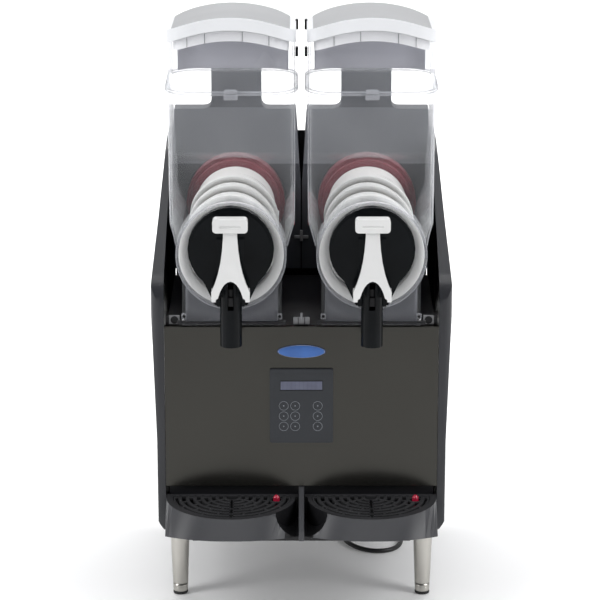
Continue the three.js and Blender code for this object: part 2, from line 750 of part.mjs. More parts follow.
function dripGrille() {
  let grille = trayDisc(GRILLE_R, TRAY_TOP - 4.6, TRAY_TOP - 0.6);
  const slots = 5;
  const pitch = 12.6;
  const floor = TRAY_TOP - 6;
  for (let k = 0; k < slots; k += 1) {
    const inner = 17 + k * pitch;
    const ring = cylinderZ(inner + 6, 0, TRAY_Y, floor, TRAY_TOP, 18).subtract(
      cylinderZ(inner, 0, TRAY_Y, floor - 1, TRAY_TOP + 1, 18),
    );
    const rib = box(-3, 3, -100, 100, floor, TRAY_TOP);
    const ribs = rib.add(rib.rotate([0, 0, 60])).add(rib.rotate([0, 0, -60]));
    grille = grille.subtract(ring.subtract(ribs.translate(0, TRAY_Y, 0)));
  }
  return grille
    .add(cylinderZ(10.5, FLOAT_X, FLOAT_Y, TRAY_TOP - 4.6, TRAY_TOP - 0.6, 16))
    .subtract(cylinderZ(8.5, 0, TRAY_Y, floor, TRAY_TOP, 20))
    .subtract(cylinderZ(6.5, FLOAT_X, FLOAT_Y, floor, TRAY_TOP, 16));
}

function trayFloat() {
  const profile = [
    [0, TRAY_BOTTOM + 4.4],
    [11, TRAY_BOTTOM + 4.4],
    [11, TRAY_BOTTOM + 14],
    [4.6, TRAY_BOTTOM + 17],
    [4.6, TRAY_TOP + 4],
    [2, TRAY_TOP + 7],
    [0, TRAY_TOP + 7],
  ];
  return turned(profile, FLOAT_X, FLOAT_Y, 16);
}

// ---- Front fittings ----
function controlPanel() {
  const plate = sweptY(roundedRect(-44, 44, 244, 352, 3), PANEL_Y - 2.4, PANEL_Y - 0.4, 3);
  const lip = box(-43, 43, PANEL_Y - 3.4, PANEL_Y - 2, 346, 351);
  const housing = box(-39, 39, PANEL_Y - 1, PANEL_Y + 5.8, 250, 346);
  const pocket = box(-29.5, 29.5, PANEL_Y - 3, PANEL_Y - 1.6, 320.5, 334.5);
  return plate.add(lip).add(housing).subtract(pocket);
}

function displayWindow() {
  return box(-29, 29, PANEL_Y - 2.3, PANEL_Y - 1.9, 321, 334);
}

function badge() {
  return sweptY(roundedRect(-33, 33, 367, 386, 5), PANEL_Y - 1.6, PANEL_Y - 0.4, 4);
}

// ---- Mains cord, behind and under the machine ----
const GLAND_X = 40;
const GLAND_Z = 148;
const CORD_Z = CORD_R + 0.3;
const CORD_ROUTE = [
  [GLAND_X, 286, GLAND_Z],
  [GLAND_X, 306, 146],
  [GLAND_X, 324, 136],
  [GLAND_X + 1, 336, 112],
  [GLAND_X + 2, 337, 76],
  [GLAND_X + 3, 331, 42],
  [GLAND_X + 5, 316, 17],
  [GLAND_X + 8, 290, 6],
  [50, 262, CORD_Z],
  [54, 220, CORD_Z],
  [57, 176, CORD_Z],
  [59, 135, CORD_Z],
  [64, 98, CORD_Z],
  [82, 66, CORD_Z],
  [110, 50, CORD_Z],
  [138, 58, CORD_Z],
  [152, 88, CORD_Z],
  [148, 130, CORD_Z],
  [136, 175, CORD_Z],
  [124, 220, CORD_Z],
  [116, 262, CORD_Z],
  [113, 280, CORD_Z],
  [113.4, 298, CORD_Z],
];
const COIL_R = 40;
const COIL_X = 153.4;
const COIL_Y = 330;
const PLUG_X = 48;
const PLUG_Y = 360;

function cordTube() {
  const route = new THREE.CatmullRomCurve3(
    CORD_ROUTE.map(([x, y, z]) => new THREE.Vector3(x, y, z)),
    false,
    "centripetal",
  );
  const corners = Array.from({ length: 8 }, (_, k) => (TURN * k) / 8);
  const section = shapeOf(corners.map((a) => [CORD_R * Math.cos(a), CORD_R * Math.sin(a)]));
  return new THREE.ExtrudeGeometry(section, {
    steps: 50,
    extrudePath: route,
    bevelEnabled: false,
  });
}

function cordCoil() {
  const inner = COIL_R - 8;
  const outer = COIL_R + 8;
  const profile = [
    [inner, 0.2],
    [outer, 0.2],
    [outer, 16],
    [inner, 16],
    [inner, 0.2],
  ];
  return turned(profile, COIL_X, COIL_Y, 28);
}

function cordGland() {
  const nut = cylinderY(12, GLAND_X, BACK_Y + 0.4, BACK_Y + 8, GLAND_Z, 6);
  const thread = cylinderY(8.4, GLAND_X, BACK_Y - 8, BACK_Y + 2, GLAND_Z, 16);
  const boot = new THREE.CylinderGeometry(4.6, 7.5, 28.5, 16);
  boot.translate(GLAND_X, BACK_Y + 7 + 14.25, GLAND_Z);
  return nut.add(thread).add(solid(boot));
}

// The plug lies behind the machine with its grip, where the cord goes in, towards the coil.
function mainsPlug() {
  const z = 17.2;
  const body = cylinderX(17, -18, 18, 0, z, 24);
  const grip = box(16, 34, -9, 9, z - 8.2, z + 8.8);
  const pin = (y) => cylinderX(2.4, -37, -17, y, z, 12);
  return body.add(grip).add(pin(-9.5)).add(pin(9.5)).translate(PLUG_X, PLUG_Y, 0);
}

// ---- Assembly ----
function addPair(name, body, offset, finish) {
  for (const [side, sign] of SIDES) {
    add(`${name}_${side}`, body.translate(sign * offset, 0, 0), finish);
  }
}

addPair("bowl", bowl(), BOWL_X, "clear");
addPair("lid_hood", lidHood(), BOWL_X, "clear");
addPair("lid_cap", lidCap(), BOWL_X, "opal");
addPair("lid_lamp", lidLamp(), BOWL_X, "white");
addPair("tap_body", tapBody(), BOWL_X, "black");
addPair("tap_lever", tapLever(), BOWL_X, "white");
addPair("tap_piston", tapPiston(), BOWL_X, "white");
addPair("latch_bar", latchBar(), BOWL_X, "steel");
addPair("auger", auger(), BOWL_X, "white");
addPair("evaporator", evaporator(), BOWL_X, "steel");
addPair("rear_gasket", gasket(), BOWL_X, "red");
addPair("drive_shaft", driveShaft(), BOWL_X, "steel");
addPair("gear_motor", gearMotor(), BOWL_X, "black");
add("compressor", compressor(), "black");
add("condenser", condenser(), "copper");
add("fan_shroud", fanShroud(), "steel");
add("fan_wheel", fanWheel(), "black");
for (const [side, sign] of SIDES) {
  const tray = dripTray(-sign * TRAY_X).translate(sign * TRAY_X, 0, 0);
  add(`drip_tray_${side}`, tray, "panel");
}
addPair("drip_grille", dripGrille(), TRAY_X, "black");
addPair("tray_float", trayFloat(), TRAY_X, "red");
add("control_panel", controlPanel(), "black");
add("display_window", displayWindow(), "grey");
add("badge_plate", badge(), "steel");
add("cord_gland", cordGland(), "rubber");
add("cord_tube", cordTube(), "rubber");
add("cord_coil", cordCoil(), "rubber");
add("mains_plug", mainsPlug(), "rubber");

export default machine;
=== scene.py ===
"""Looks of the twin-bowl slush machine: materials, fine detail, cord, light and camera.

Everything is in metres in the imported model's frame: front towards -Y, +Z up, floor at z = 0.
"""

import math

import bmesh
import bpy
from mathutils import Matrix, Vector


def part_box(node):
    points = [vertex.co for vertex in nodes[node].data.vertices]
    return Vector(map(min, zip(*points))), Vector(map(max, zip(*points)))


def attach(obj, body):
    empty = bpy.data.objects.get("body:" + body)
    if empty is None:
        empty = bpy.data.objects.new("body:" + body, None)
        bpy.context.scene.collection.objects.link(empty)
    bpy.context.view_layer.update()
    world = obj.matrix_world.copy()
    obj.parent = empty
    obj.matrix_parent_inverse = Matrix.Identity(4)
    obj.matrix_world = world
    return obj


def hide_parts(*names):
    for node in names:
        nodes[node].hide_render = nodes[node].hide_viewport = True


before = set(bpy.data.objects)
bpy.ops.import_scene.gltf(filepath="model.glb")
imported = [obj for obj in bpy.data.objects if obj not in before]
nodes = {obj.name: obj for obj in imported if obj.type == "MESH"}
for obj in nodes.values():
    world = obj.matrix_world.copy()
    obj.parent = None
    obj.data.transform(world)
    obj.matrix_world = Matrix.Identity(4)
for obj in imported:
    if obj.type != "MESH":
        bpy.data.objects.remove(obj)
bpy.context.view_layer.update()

SIDES = (("left", -1), ("right", 1))
PANEL_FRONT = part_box("front_panel")[0].y
BOWL_X = (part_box("bowl_right")[0].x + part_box("bowl_right")[1].x) / 2
AXIS_Z = 0.518
BOWL_FRONT = -0.170
FLANGE_Z = 0.736
BEAD = 0.0006  # radius of the fine beads on the clear walls

# Backdrop: where the floor starts to rise, the radius of its sweep, and its top.
SWEEP_Y = 6.6
SWEEP_RADIUS = 2.4
BACKDROP_TOP = 9.0
STAGE_HALF_WIDTH = 12


# ---- Camera, world, lights and floor ----
def make_camera():
    camera = bpy.data.objects.new("camera", bpy.data.cameras.new("camera"))
    bpy.context.scene.collection.objects.link(camera)
    camera.location = (-0.002, -3.985, 1.550)
    camera.rotation_euler = (math.radians(74), 0, 0)
    camera.data.sensor_width = 36
    camera.data.lens = 174
    camera.data.clip_start = 0.1
    camera.data.clip_end = 50
    bpy.context.scene.camera = camera


def make_world(front, sides, strength):
    """Soft grey round the object, darker where the photographer stands."""
    world = bpy.data.worlds.new("studio")
    bpy.context.scene.world = world
    world.use_nodes = True
    nt = world.node_tree
    where = nt.nodes.new("ShaderNodeTexCoord")
    parts = nt.nodes.new("ShaderNodeSeparateXYZ")
    ramp = nt.nodes.new("ShaderNodeMapRange")
    ramp.inputs["From Min"].default_value = -0.95
    ramp.inputs["From Max"].default_value = -0.25
    blend = nt.nodes.new("ShaderNodeMix")
    blend.data_type = "RGBA"
    blend.inputs[6].default_value = front
    blend.inputs[7].default_value = sides
    nt.links.new(where.outputs["Generated"], parts.inputs["Vector"])
    nt.links.new(parts.outputs["Y"], ramp.inputs["Value"])
    nt.links.new(ramp.outputs["Result"], blend.inputs[0])
    nt.links.new(blend.outputs[2], nt.nodes["Background"].inputs["Color"])
    nt.nodes["Background"].inputs["Strength"].default_value = strength


def area_light(name, location, target, size, power, colour=(1, 1, 1)):
    data = bpy.data.lights.new(name, "AREA")
    data.shape = "RECTANGLE"
    data.size, data.size_y = size
    data.energy = power
    data.color = colour
    lamp = bpy.data.objects.new(name, data)
    bpy.context.scene.collection.objects.link(lamp)
    lamp.location = location
    aim = Vector(target) - Vector(location)
    lamp.rotation_euler = aim.to_track_quat("-Z", "Y").to_euler()


def link(obj):
    bpy.context.scene.collection.objects.link(obj)
    return obj


def mesh_object(name, verts, faces, smooth=True):
    data = bpy.data.meshes.new(name)
    data.from_pydata([tuple(v) for v in verts], [], faces)
    data.update()
    for polygon in data.polygons:
        polygon.use_smooth = smooth
    return link(bpy.data.objects.new(name, data))


def make_stage(material):
    """One sheet: the floor runs back and curves up into the backdrop."""
    profile = [(-9.0, 0.0), (SWEEP_Y, 0.0)]
    for k in range(1, 17):
        a = math.pi / 2 * k / 16
        profile.append((SWEEP_Y + SWEEP_RADIUS * math.sin(a), SWEEP_RADIUS * (1 - math.cos(a))))
    profile.append((SWEEP_Y + SWEEP_RADIUS, BACKDROP_TOP))
    verts = [(x, y, z - 0.0002) for y, z in profile for x in (-STAGE_HALF_WIDTH, STAGE_HALF_WIDTH)]
    faces = [(2 * i, 2 * i + 1, 2 * i + 3, 2 * i + 2) for i in range(len(profile) - 1)]
    stage = mesh_object("studio_floor", verts, faces)
    stage.data.materials.append(material)


# ---- Materials ----
def tree(name):
    made = bpy.data.materials.new(name)
    made.use_nodes = True
    shader = made.node_tree.nodes["Principled BSDF"]
    return made, made.node_tree, shader


def noise(nt, scale, detail=4.0, stretch=(1, 1, 1), rough=0.55):
    where = nt.nodes.new("ShaderNodeTexCoord")
    turn = nt.nodes.new("ShaderNodeMapping")
    turn.inputs["Scale"].default_value = stretch
    tex = nt.nodes.new("ShaderNodeTexNoise")
    tex.inputs["Scale"].default_value = scale
    tex.inputs["Detail"].default_value = detail
    tex.inputs["Roughness"].default_value = rough
    nt.links.new(where.outputs["Object"], turn.inputs["Vector"])
    nt.links.new(turn.outputs["Vector"], tex.inputs["Vector"])
    return tex.outputs["Fac"]


def spread(nt, value, low, high, start=0.3, end=0.7):
    ranged = nt.nodes.new("ShaderNodeMapRange")
    ranged.inputs["From Min"].default_value = start
    ranged.inputs["From Max"].default_value = end
    ranged.inputs["To Min"].default_value = low
    ranged.inputs["To Max"].default_value = high
    nt.links.new(value, ranged.inputs["Value"])
    return ranged.outputs["Result"]


def mix(nt, factor, a, b, how="MIX"):
    mixed = nt.nodes.new("ShaderNodeMix")
    mixed.data_type = "RGBA"
    mixed.blend_type = how
    for socket, value in ((0, factor), (6, a), (7, b)):
        if hasattr(value, "is_output"):
            nt.links.new(value, mixed.inputs[socket])
        else:
            mixed.inputs[socket].default_value = value
    return mixed.outputs[2]


def shade(colour, factor):
    return (*(min(1.0, c * factor) for c in colour[:3]), 1)


def bump(nt, shader, height, strength, distance):
    node = nt.nodes.new("ShaderNodeBump")
    node.inputs["Strength"].default_value = strength
    node.inputs["Distance"].default_value = distance
    nt.links.new(height, node.inputs["Height"])
    nt.links.new(node.outputs["Normal"], shader.inputs["Normal"])
    return node


def surface(
    name,
    colour,
    rough,
    metal=0.0,
    tint=0.10,
    cloud=14,
    grain=(900, 0.15, 0.0002),
    stretch=(1, 1, 1),
    coat=0.0,
    wear=None,
    specular=0.5,
):
    """A solid surface with clouded colour, uneven gloss, fine grain and light scuffs."""
    made, nt, shader = tree(name)
    soft = noise(nt, cloud, 3)
    fine = noise(nt, grain[0], 2, stretch)
    base = mix(nt, spread(nt, soft, 0, 1), shade(colour, 1 - tint), shade(colour, 1 + tint))
    speck = mix(nt, spread(nt, fine, 0, 0.12), base, shade(colour, 1 - 1.6 * tint))
    if wear:
        amount, lift = wear
        scuffs = spread(nt, noise(nt, 55, 6, (1, 1, 0.35), 0.75), 0, amount, 0.60, 0.74)
        worn = tuple(min(1.0, c + lift) for c in colour[:3]) + (1,)
        speck = mix(nt, scuffs, speck, worn)
    nt.links.new(speck, shader.inputs["Base Color"])
    nt.links.new(
        spread(nt, noise(nt, 8, 2), max(0.02, rough - 0.05), rough + 0.06, 0.1, 0.9),
        shader.inputs["Roughness"],
    )
    shader.inputs["Metallic"].default_value = metal
    shader.inputs["Specular IOR Level"].default_value = specular
    if coat:
        shader.inputs["Coat Weight"].default_value = coat
        shader.inputs["Coat Roughness"].default_value = 0.12
    bump(nt, shader, fine, 0.4 * grain[1], grain[2])
    return made


def clear_surface(name, low, high, colour=(0.80, 0.83, 0.87), rough=0.05, blend=0.5):
    """Clear plastic: nearly unseen face on, bright at its edges, with faint haze."""
    made, nt, shader = tree(name)
    weight = nt.nodes.new("ShaderNodeLayerWeight")
    weight.inputs["Blend"].default_value = blend
    haze = noise(nt, 22, 5)
    fine = noise(nt, 60, 4, (1, 1, 0.15))
    base = mix(nt, spread(nt, haze, 0, 1), shade(colour, 0.94), shade(colour, 1.08))
    nt.links.new(base, shader.inputs["Base Color"])
    nt.links.new(spread(nt, fine, rough, rough + 0.08), shader.inputs["Roughness"])
    steep = nt.nodes.new("ShaderNodeMath")
    steep.operation = "POWER"
    nt.links.new(weight.outputs["Facing"], steep.inputs[0])
    steep.inputs[1].default_value = 6.0
    rise = spread(nt, steep.outputs["Value"], low, high, 0.0, 0.85)
    smear = spread(nt, haze, 0.0, 0.012, 0.45, 0.75)
    total = nt.nodes.new("ShaderNodeMath")
    total.operation = "ADD"
    total.use_clamp = True
    nt.links.new(rise, total.inputs[0])
    nt.links.new(smear, total.inputs[1])
    nt.links.new(total.outputs["Value"], shader.inputs["Alpha"])
    shader.inputs["Specular IOR Level"].default_value = 0.9
    bump(nt, shader, haze, 0.08, 0.002)
    return made


def floor_surface():
    made, nt, shader = tree("studio_floor")
    base = mix(nt, noise(nt, 3, 2), (0.86, 0.86, 0.865, 1), (0.89, 0.89, 0.89, 1))
    nt.links.new(base, shader.inputs["Base Color"])
    shader.inputs["Roughness"].default_value = 0.55
    shader.inputs["Emission Color"].default_value = (1, 1, 1, 1)
    shader.inputs["Emission Strength"].default_value = 0.10
    return made


def display_surface():
    """The unlit liquid crystal: lilac grey with faint cell rows, behind gloss."""
    made, nt, shader = tree("display_cells")
    where = nt.nodes.new("ShaderNodeTexCoord")
    wave = nt.nodes.new("ShaderNodeTexWave")
    wave.wave_type = "BANDS"
    wave.bands_direction = "X"
    wave.inputs["Scale"].default_value = 55
    wave.inputs["Distortion"].default_value = 0
    nt.links.new(where.outputs["Object"], wave.inputs["Vector"])
    cells = spread(nt, wave.outputs["Fac"], 0, 0.35, 0.7, 1.0)
    drift = spread(nt, noise(nt, 30, 2), 0, 1)
    lit = mix(nt, drift, (0.055, 0.062, 0.110, 1), (0.095, 0.105, 0.180, 1))
    base = mix(nt, cells, lit, (0.05, 0.055, 0.10, 1))
    nt.links.new(base, shader.inputs["Base Color"])
    shader.inputs["Roughness"].default_value = 0.12
    shader.inputs["Coat Weight"].default_value = 0.6
    return made


PANEL = surface("panel_steel", (0.052, 0.0505, 0.045), 0.20, 0.85, 0.03, 3,
                (900, 0.02, 0.0001), (1, 1, 0.04), wear=(0.05, 0.015))
SHELL = surface("shell_plastic", (0.026, 0.027, 0.031), 0.30, 0.0, 0.10, 9,
                (260, 0.05, 0.0001), specular=0.40)
BLACK_GLOSS = surface("black_gloss", (0.005, 0.006, 0.007), 0.12, 0.0, 0.25, 18,
                      (400, 0.02, 0.0001), wear=(0.12, 0.015), specular=0.10)
BLACK_MATT = surface("black_matt", (0.009, 0.009, 0.010), 0.40, 0.0, 0.2, 18,
                     (800, 0.2, 0.0002), wear=(0.12, 0.015), specular=0.22)
SLATE = surface("slate_gloss", (0.022, 0.025, 0.030), 0.16, 0.0, 0.10, 12,
                (400, 0.02, 0.0001), wear=(0.06, 0.010), specular=0.34)
GRILLE = surface("grille_plastic", (0.026, 0.026, 0.028), 0.50, 0.0, 0.2, 30,
                 (700, 0.1, 0.0002), specular=0.22)
TOWER = surface("tower_plastic", (0.062, 0.065, 0.076), 0.45, 0.0, 0.05, 10,
                (600, 0.15, 0.0002), wear=(0.06, 0.010), specular=0.35)
STEEL = surface("satin_steel", (0.50, 0.485, 0.45), 0.30, 1.0, 0.05, 16,
                (1400, 0.08, 0.0001), (1, 1, 0.03))
ROD = surface("rod_steel", (0.60, 0.60, 0.60), 0.22, 1.0, 0.05, 30, (900, 0.08, 0.0002))
WHITE = surface("white_plastic", (0.74, 0.74, 0.735), 0.22, 0.0, 0.03, 20,
                (500, 0.04, 0.0002), coat=0.2)
AUGER = surface("auger_plastic", (0.86, 0.86, 0.85), 0.36, 0.0, 0.03, 16, (450, 0.06, 0.0002))
OPAL = surface("cap_opal", (0.80, 0.81, 0.83), 0.32, 0.0, 0.03, 9, (500, 0.06, 0.0002))
# Painted shade: a darker grey for the cap's upward faces, standing in for the grey the top shows next
# to the white fascia.
CAP_TOP_PAINTED_SHADE = surface("cap_top_painted_shade", (0.34, 0.345, 0.355), 0.36, 0.0, 0.03, 9, (500, 0.06, 0.0002))
LAMP = surface("lamp_diffuser", (0.93, 0.93, 0.95), 0.40, 0.0, 0.02, 14, (600, 0.1, 0.0002))
LILAC = surface("hood_back", (0.37, 0.37, 0.42), 0.26, 0.0, 0.12, 7, (500, 0.05, 0.0002))
RUBBER_RED = surface("gasket_rubber", (0.21, 0.040, 0.055), 0.45, 0.0, 0.15, 25, (700, 0.2, 0.0003))
RED = surface("red_plastic", (0.40, 0.010, 0.040), 0.20, 0.0, 0.10, 25,
              (500, 0.05, 0.0002), coat=0.4)
TRAY = surface("tray_plastic", (0.050, 0.051, 0.056), 0.38, 0.0, 0.08, 12,
               (650, 0.15, 0.0002), wear=(0.06, 0.010), specular=0.4)
# Painted shade: near-black colour for recesses (the trays' finger scoops, the rail bores), darkened
# where shade falls, not a plastic of its own.
RECESS_PAINTED_SHADE = surface("recess_painted_shade", (0.007, 0.007, 0.008), 0.45, 0.0, 0.1, 12,
                (650, 0.15, 0.0002), specular=0.25)
RUBBER = surface("black_rubber", (0.014, 0.014, 0.015), 0.62, 0.0, 0.2, 25, (900, 0.3, 0.0003))
CORD = surface("cord_sheath", (0.010, 0.010, 0.011), 0.44, 0.0, 0.2, 40, (1200, 0.2, 0.0002))
INK = surface("key_ink", (0.26, 0.28, 0.31), 0.30, 0.0, 0.06, 60, (900, 0.05, 0.0001))
BADGE_BLUE = surface("badge_enamel", (0.05, 0.15, 0.46), 0.25, 0.2, 0.12, 40,
                     (500, 0.04, 0.0001), specular=0.5)
BADGE = surface("badge_metal", (0.30, 0.31, 0.34), 0.26, 0.9, 0.05, 40,
                (1500, 0.06, 0.0001), (0.05, 1, 1))
FIN = surface("fin_metal", (0.50, 0.48, 0.45), 0.42, 0.9, 0.10, 30, (900, 0.2, 0.0003))
CASE_PAINT = surface("case_paint", (0.012, 0.012, 0.014), 0.40, 0.0, 0.15, 12,
                     (700, 0.15, 0.0002), wear=(0.12, 0.040), specular=0.35)
GREY_BLOCK = surface("grey_block", (0.27, 0.27, 0.28), 0.35, 0.0, 0.08, 30,
                     (600, 0.1, 0.0002), wear=(0.12, 0.100))
CLEAR = clear_surface("clear_bowl", 0.034, 0.80, (0.76, 0.78, 0.81))
CLEAR_LID = clear_surface("clear_hood", 0.060, 0.95, (0.72, 0.74, 0.78))
RIM = clear_surface("clear_rim", 0.35, 0.95, (0.52, 0.53, 0.57), 0.08, 0.5)
SKIRT = surface("skirt_shade", (0.105, 0.108, 0.125), 0.35, 0.0, 0.12, 20,
                (500, 0.06, 0.0002), specular=0.3)
DISPLAY = display_surface()


# ---- Finishing the CAD nodes ----
def soften(obj, width, segments=2, angle=32):
    """Rounds a node's sharp edges and shades its curved faces smoothly."""
    if obj.data.has_custom_normals:
        bpy.context.view_layer.objects.active = obj
        bpy.ops.mesh.customdata_custom_splitnormals_clear()
    for polygon in obj.data.polygons:
        polygon.use_smooth = True
    weld = obj.modifiers.new("weld", "WELD")
    weld.merge_threshold = 0.00002
    flat = obj.modifiers.new("planes", "DECIMATE")
    flat.decimate_type = "DISSOLVE"
    flat.angle_limit = math.radians(0.6)
    edge = obj.modifiers.new("edges", "BEVEL")
    edge.width = width
    edge.segments = segments
    edge.limit_method = "ANGLE"
    edge.angle_limit = math.radians(angle)
    edge.use_clamp_overlap = True
    edge.miter_outer = "MITER_ARC"
    normals = obj.modifiers.new("normals", "WEIGHTED_NORMAL")
    normals.weight = 60


# material, edge radius in mm, for each node or family of nodes
LOOKS = {
    "base_pan": (CASE_PAINT, 0),
    "tray_divider": (TRAY, 1.2),
    "front_panel": (PANEL, 0.8),
    "bowl_deck": (CASE_PAINT, 0),
    "rear_cover": (CASE_PAINT, 0),
    "side_shell": (SHELL, 2.0),
    "tower": (TOWER, 2.0),
    "leg_toe": (RUBBER, 0.8),
    "leg": (STEEL, 0.6),
    "evaporator": (STEEL, 1.0),
    "rear_gasket": (RUBBER_RED, 1.0),
    "gear_motor": (CASE_PAINT, 1.2),
    "compressor": (CASE_PAINT, 1.5),
    "condenser": (FIN, 0),
    "fan_shroud": (STEEL, 0),
    "control_panel": (SLATE, 0.5),
    "display_window": (DISPLAY, 0),
    "badge_plate": (BADGE, 0.4),
    "cord_gland": (BLACK_MATT, 0.5),
    "fan_wheel": (BLACK_MATT, 0),
    "auger": (AUGER, 1.0),
    "drive_shaft": (STEEL, 0.4),
    "bowl": (CLEAR, 0),
    "tap_body": (BLACK_GLOSS, 0.9),
    "latch_bar": (CASE_PAINT, 0.4),
    "lid_hood": (CLEAR_LID, 0),
    "lid_cap": (OPAL, 0.8),
    "lid_lamp": (LAMP, 0),
    "tap_lever": (WHITE, 1.1),
    "tap_piston": (BLACK_MATT, 0.3),
    "drip_tray": (TRAY, 1.0),
    "drip_grille": (GRILLE, 0),
    "tray_float": (RED, 0.5),
}


def family(name):
    found = [key for key in LOOKS if name == key or name.startswith(key + "_")]
    return max(found, key=len) if found else None


def finish_nodes(skip=()):
    for name, obj in nodes.items():
        key = family(name)
        if name in skip or key is None:
            continue
        made, width = LOOKS[key]
        obj.data.materials.clear()
        obj.data.materials.append(made)
        if width:
            soften(obj, width / 1000)


# ---- Shape helpers ----
def keep(obj, body, material=None):
    if material is not None:
        obj.data.materials.clear()
        obj.data.materials.append(material)
    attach(obj, body)
    return obj


def smooth_box(name, low, high, radius=0.0008, segments=3):
    """A block with rounded edges."""
    bm = bmesh.new()
    bmesh.ops.create_cube(bm, size=1)
    size = Vector(high) - Vector(low)
    centre = (Vector(high) + Vector(low)) / 2
    for v in bm.verts:
        v.co = Vector((v.co.x * size.x, v.co.y * size.y, v.co.z * size.z)) + centre
    bmesh.ops.bevel(
        bm, geom=bm.edges[:], offset=min(radius, min(size) * 0.45), segments=segments,
        profile=0.5, affect="EDGES",
    )
    return from_bmesh(name, bm)


def from_bmesh(name, bm, smooth=True):
    bmesh.ops.recalc_face_normals(bm, faces=bm.faces[:])
    data = bpy.data.meshes.new(name)
    bm.to_mesh(data)
    bm.free()
    for polygon in data.polygons:
        polygon.use_smooth = smooth
    obj = link(bpy.data.objects.new(name, data))
    normals = obj.modifiers.new("normals", "WEIGHTED_NORMAL")
    normals.weight = 60
    return obj


def loop_tube(name, points, radius, sides=8, closed=False):
    """A round bead that follows points; closed joins its ends."""
    rings = []
    count = len(points)
    up = Vector((0, 0, 1))
    for i, p in enumerate(points):
        ahead = points[(i + 1) % count] if closed or i < count - 1 else p
        behind = points[i - 1] if closed or i else p
        along = (Vector(ahead) - Vector(behind)).normalized()
        side = along.cross(up)
        if side.length <= 0.05:
            side = along.cross(Vector((0, 1, 0)))
        side = side.normalized()
        other = along.cross(side)
        rings.append([
            Vector(p) + radius * (math.cos(a) * side + math.sin(a) * other)
            for a in (2 * math.pi * k / sides for k in range(sides))
        ])
    verts = [v for ring in rings for v in ring]
    faces = []
    for i in range(count if closed else count - 1):
        j = (i + 1) % count
        for k in range(sides):
            n = (k + 1) % sides
            faces.append((i * sides + k, i * sides + n, j * sides + n, j * sides + k))
    if not closed:
        faces.append(tuple(range(sides)))
        faces.append(tuple((count - 1) * sides + k for k in reversed(range(sides))))
    return mesh_object(name, verts, faces)


def turned_piece(name, profile, centre, axis="Z", sides=48):
    """A closed (radius, height) profile turned about an axis through centre."""
    verts, faces = [], []
    for k in range(sides):
        a = 2 * math.pi * k / sides
        for r, h in profile:
            x, y = r * math.cos(a), r * math.sin(a)
            local = (x, y, h) if axis == "Z" else (x, h, y) if axis == "Y" else (h, x, y)
            verts.append(Vector(centre) + Vector(local))
    n = len(profile)
    for k in range(sides):
        j = (k + 1) % sides
        for i in range(n - 1):
            faces.append((k * n + i, j * n + i, j * n + i + 1, k * n + i + 1))
    bm = bmesh.new()
    made = [bm.verts.new(v) for v in verts]
    for face in faces:
        corners = [made[i] for i in face]
        try:
            bm.faces.new(corners)
        except ValueError:
            pass
    bmesh.ops.remove_doubles(bm, verts=bm.verts[:], dist=0.00001)
    return from_bmesh(name, bm)


# ---- Mains cord ----
CORD_D = 0.007
CORD_ROUTE = [
    (0.040, 0.286, 0.148), (0.040, 0.306, 0.146), (0.040, 0.324, 0.136), (0.041, 0.336, 0.112),
    (0.042, 0.337, 0.076), (0.043, 0.331, 0.042), (0.045, 0.316, 0.017), (0.048, 0.290, 0.006),
    (0.050, 0.262, 0.0038), (0.054, 0.220, 0.0038), (0.057, 0.176, 0.0038), (0.059, 0.135, 0.0038),
    (0.064, 0.098, 0.0038), (0.082, 0.066, 0.0038), (0.110, 0.050, 0.0038), (0.138, 0.058, 0.0038),
    (0.152, 0.088, 0.0038), (0.148, 0.130, 0.0038), (0.136, 0.175, 0.0038), (0.124, 0.220, 0.0038),
    (0.116, 0.262, 0.0038), (0.1115, 0.285, 0.0038), (0.1100, 0.305, 0.0038),
]
COIL = Vector((0.1534, 0.330, 0))
COIL_TURNS = ((0.0436, 0.0038), (0.0363, 0.0038), (0.0363, 0.0112), (0.0436, 0.0112))
PER_TURN = 24


def coil_points():
    """Four turns, clockwise seen from above, two flat on the floor and two on top of them."""
    points = []
    total = PER_TURN * len(COIL_TURNS)
    for i in range(total + 1):
        turn = min(i // PER_TURN, len(COIL_TURNS) - 1)
        part = i / PER_TURN - turn
        after = COIL_TURNS[min(turn + 1, len(COIL_TURNS) - 1)]
        ease = max(0.0, (part - 0.70) / 0.30)
        ease = ease * ease * (3 - 2 * ease)
        radius = COIL_TURNS[turn][0] * (1 - ease) + after[0] * ease
        z = COIL_TURNS[turn][1] * (1 - ease) + after[1] * ease
        angle = math.pi - 2 * math.pi * i / PER_TURN
        points.append(COIL + Vector((radius * math.cos(angle), radius * math.sin(angle), z)))
    return points


def cord_points():
    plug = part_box("mains_plug")
    end = Vector((plug[1].x, (plug[0].y + plug[1].y) / 2, 0.0172))
    coil = coil_points()
    tail = [
        Vector((0.1085, 0.341, 0.0115)),
        Vector((0.1045, 0.350, 0.0125)),
        Vector((0.0985, 0.3565, 0.0145)),
        Vector((0.0910, 0.3595, 0.0165)),
        end + Vector((0.001, 0, 0)),
    ]
    return [Vector(p) for p in CORD_ROUTE] + coil + tail


def smooth_path(points, rounds=2):
    for _ in range(rounds):
        moved = [points[0]]
        for a, b, c in zip(points, points[1:], points[2:]):
            moved.append(b * 0.6 + (a + c) * 0.2)
        points = moved + [points[-1]]
    return points


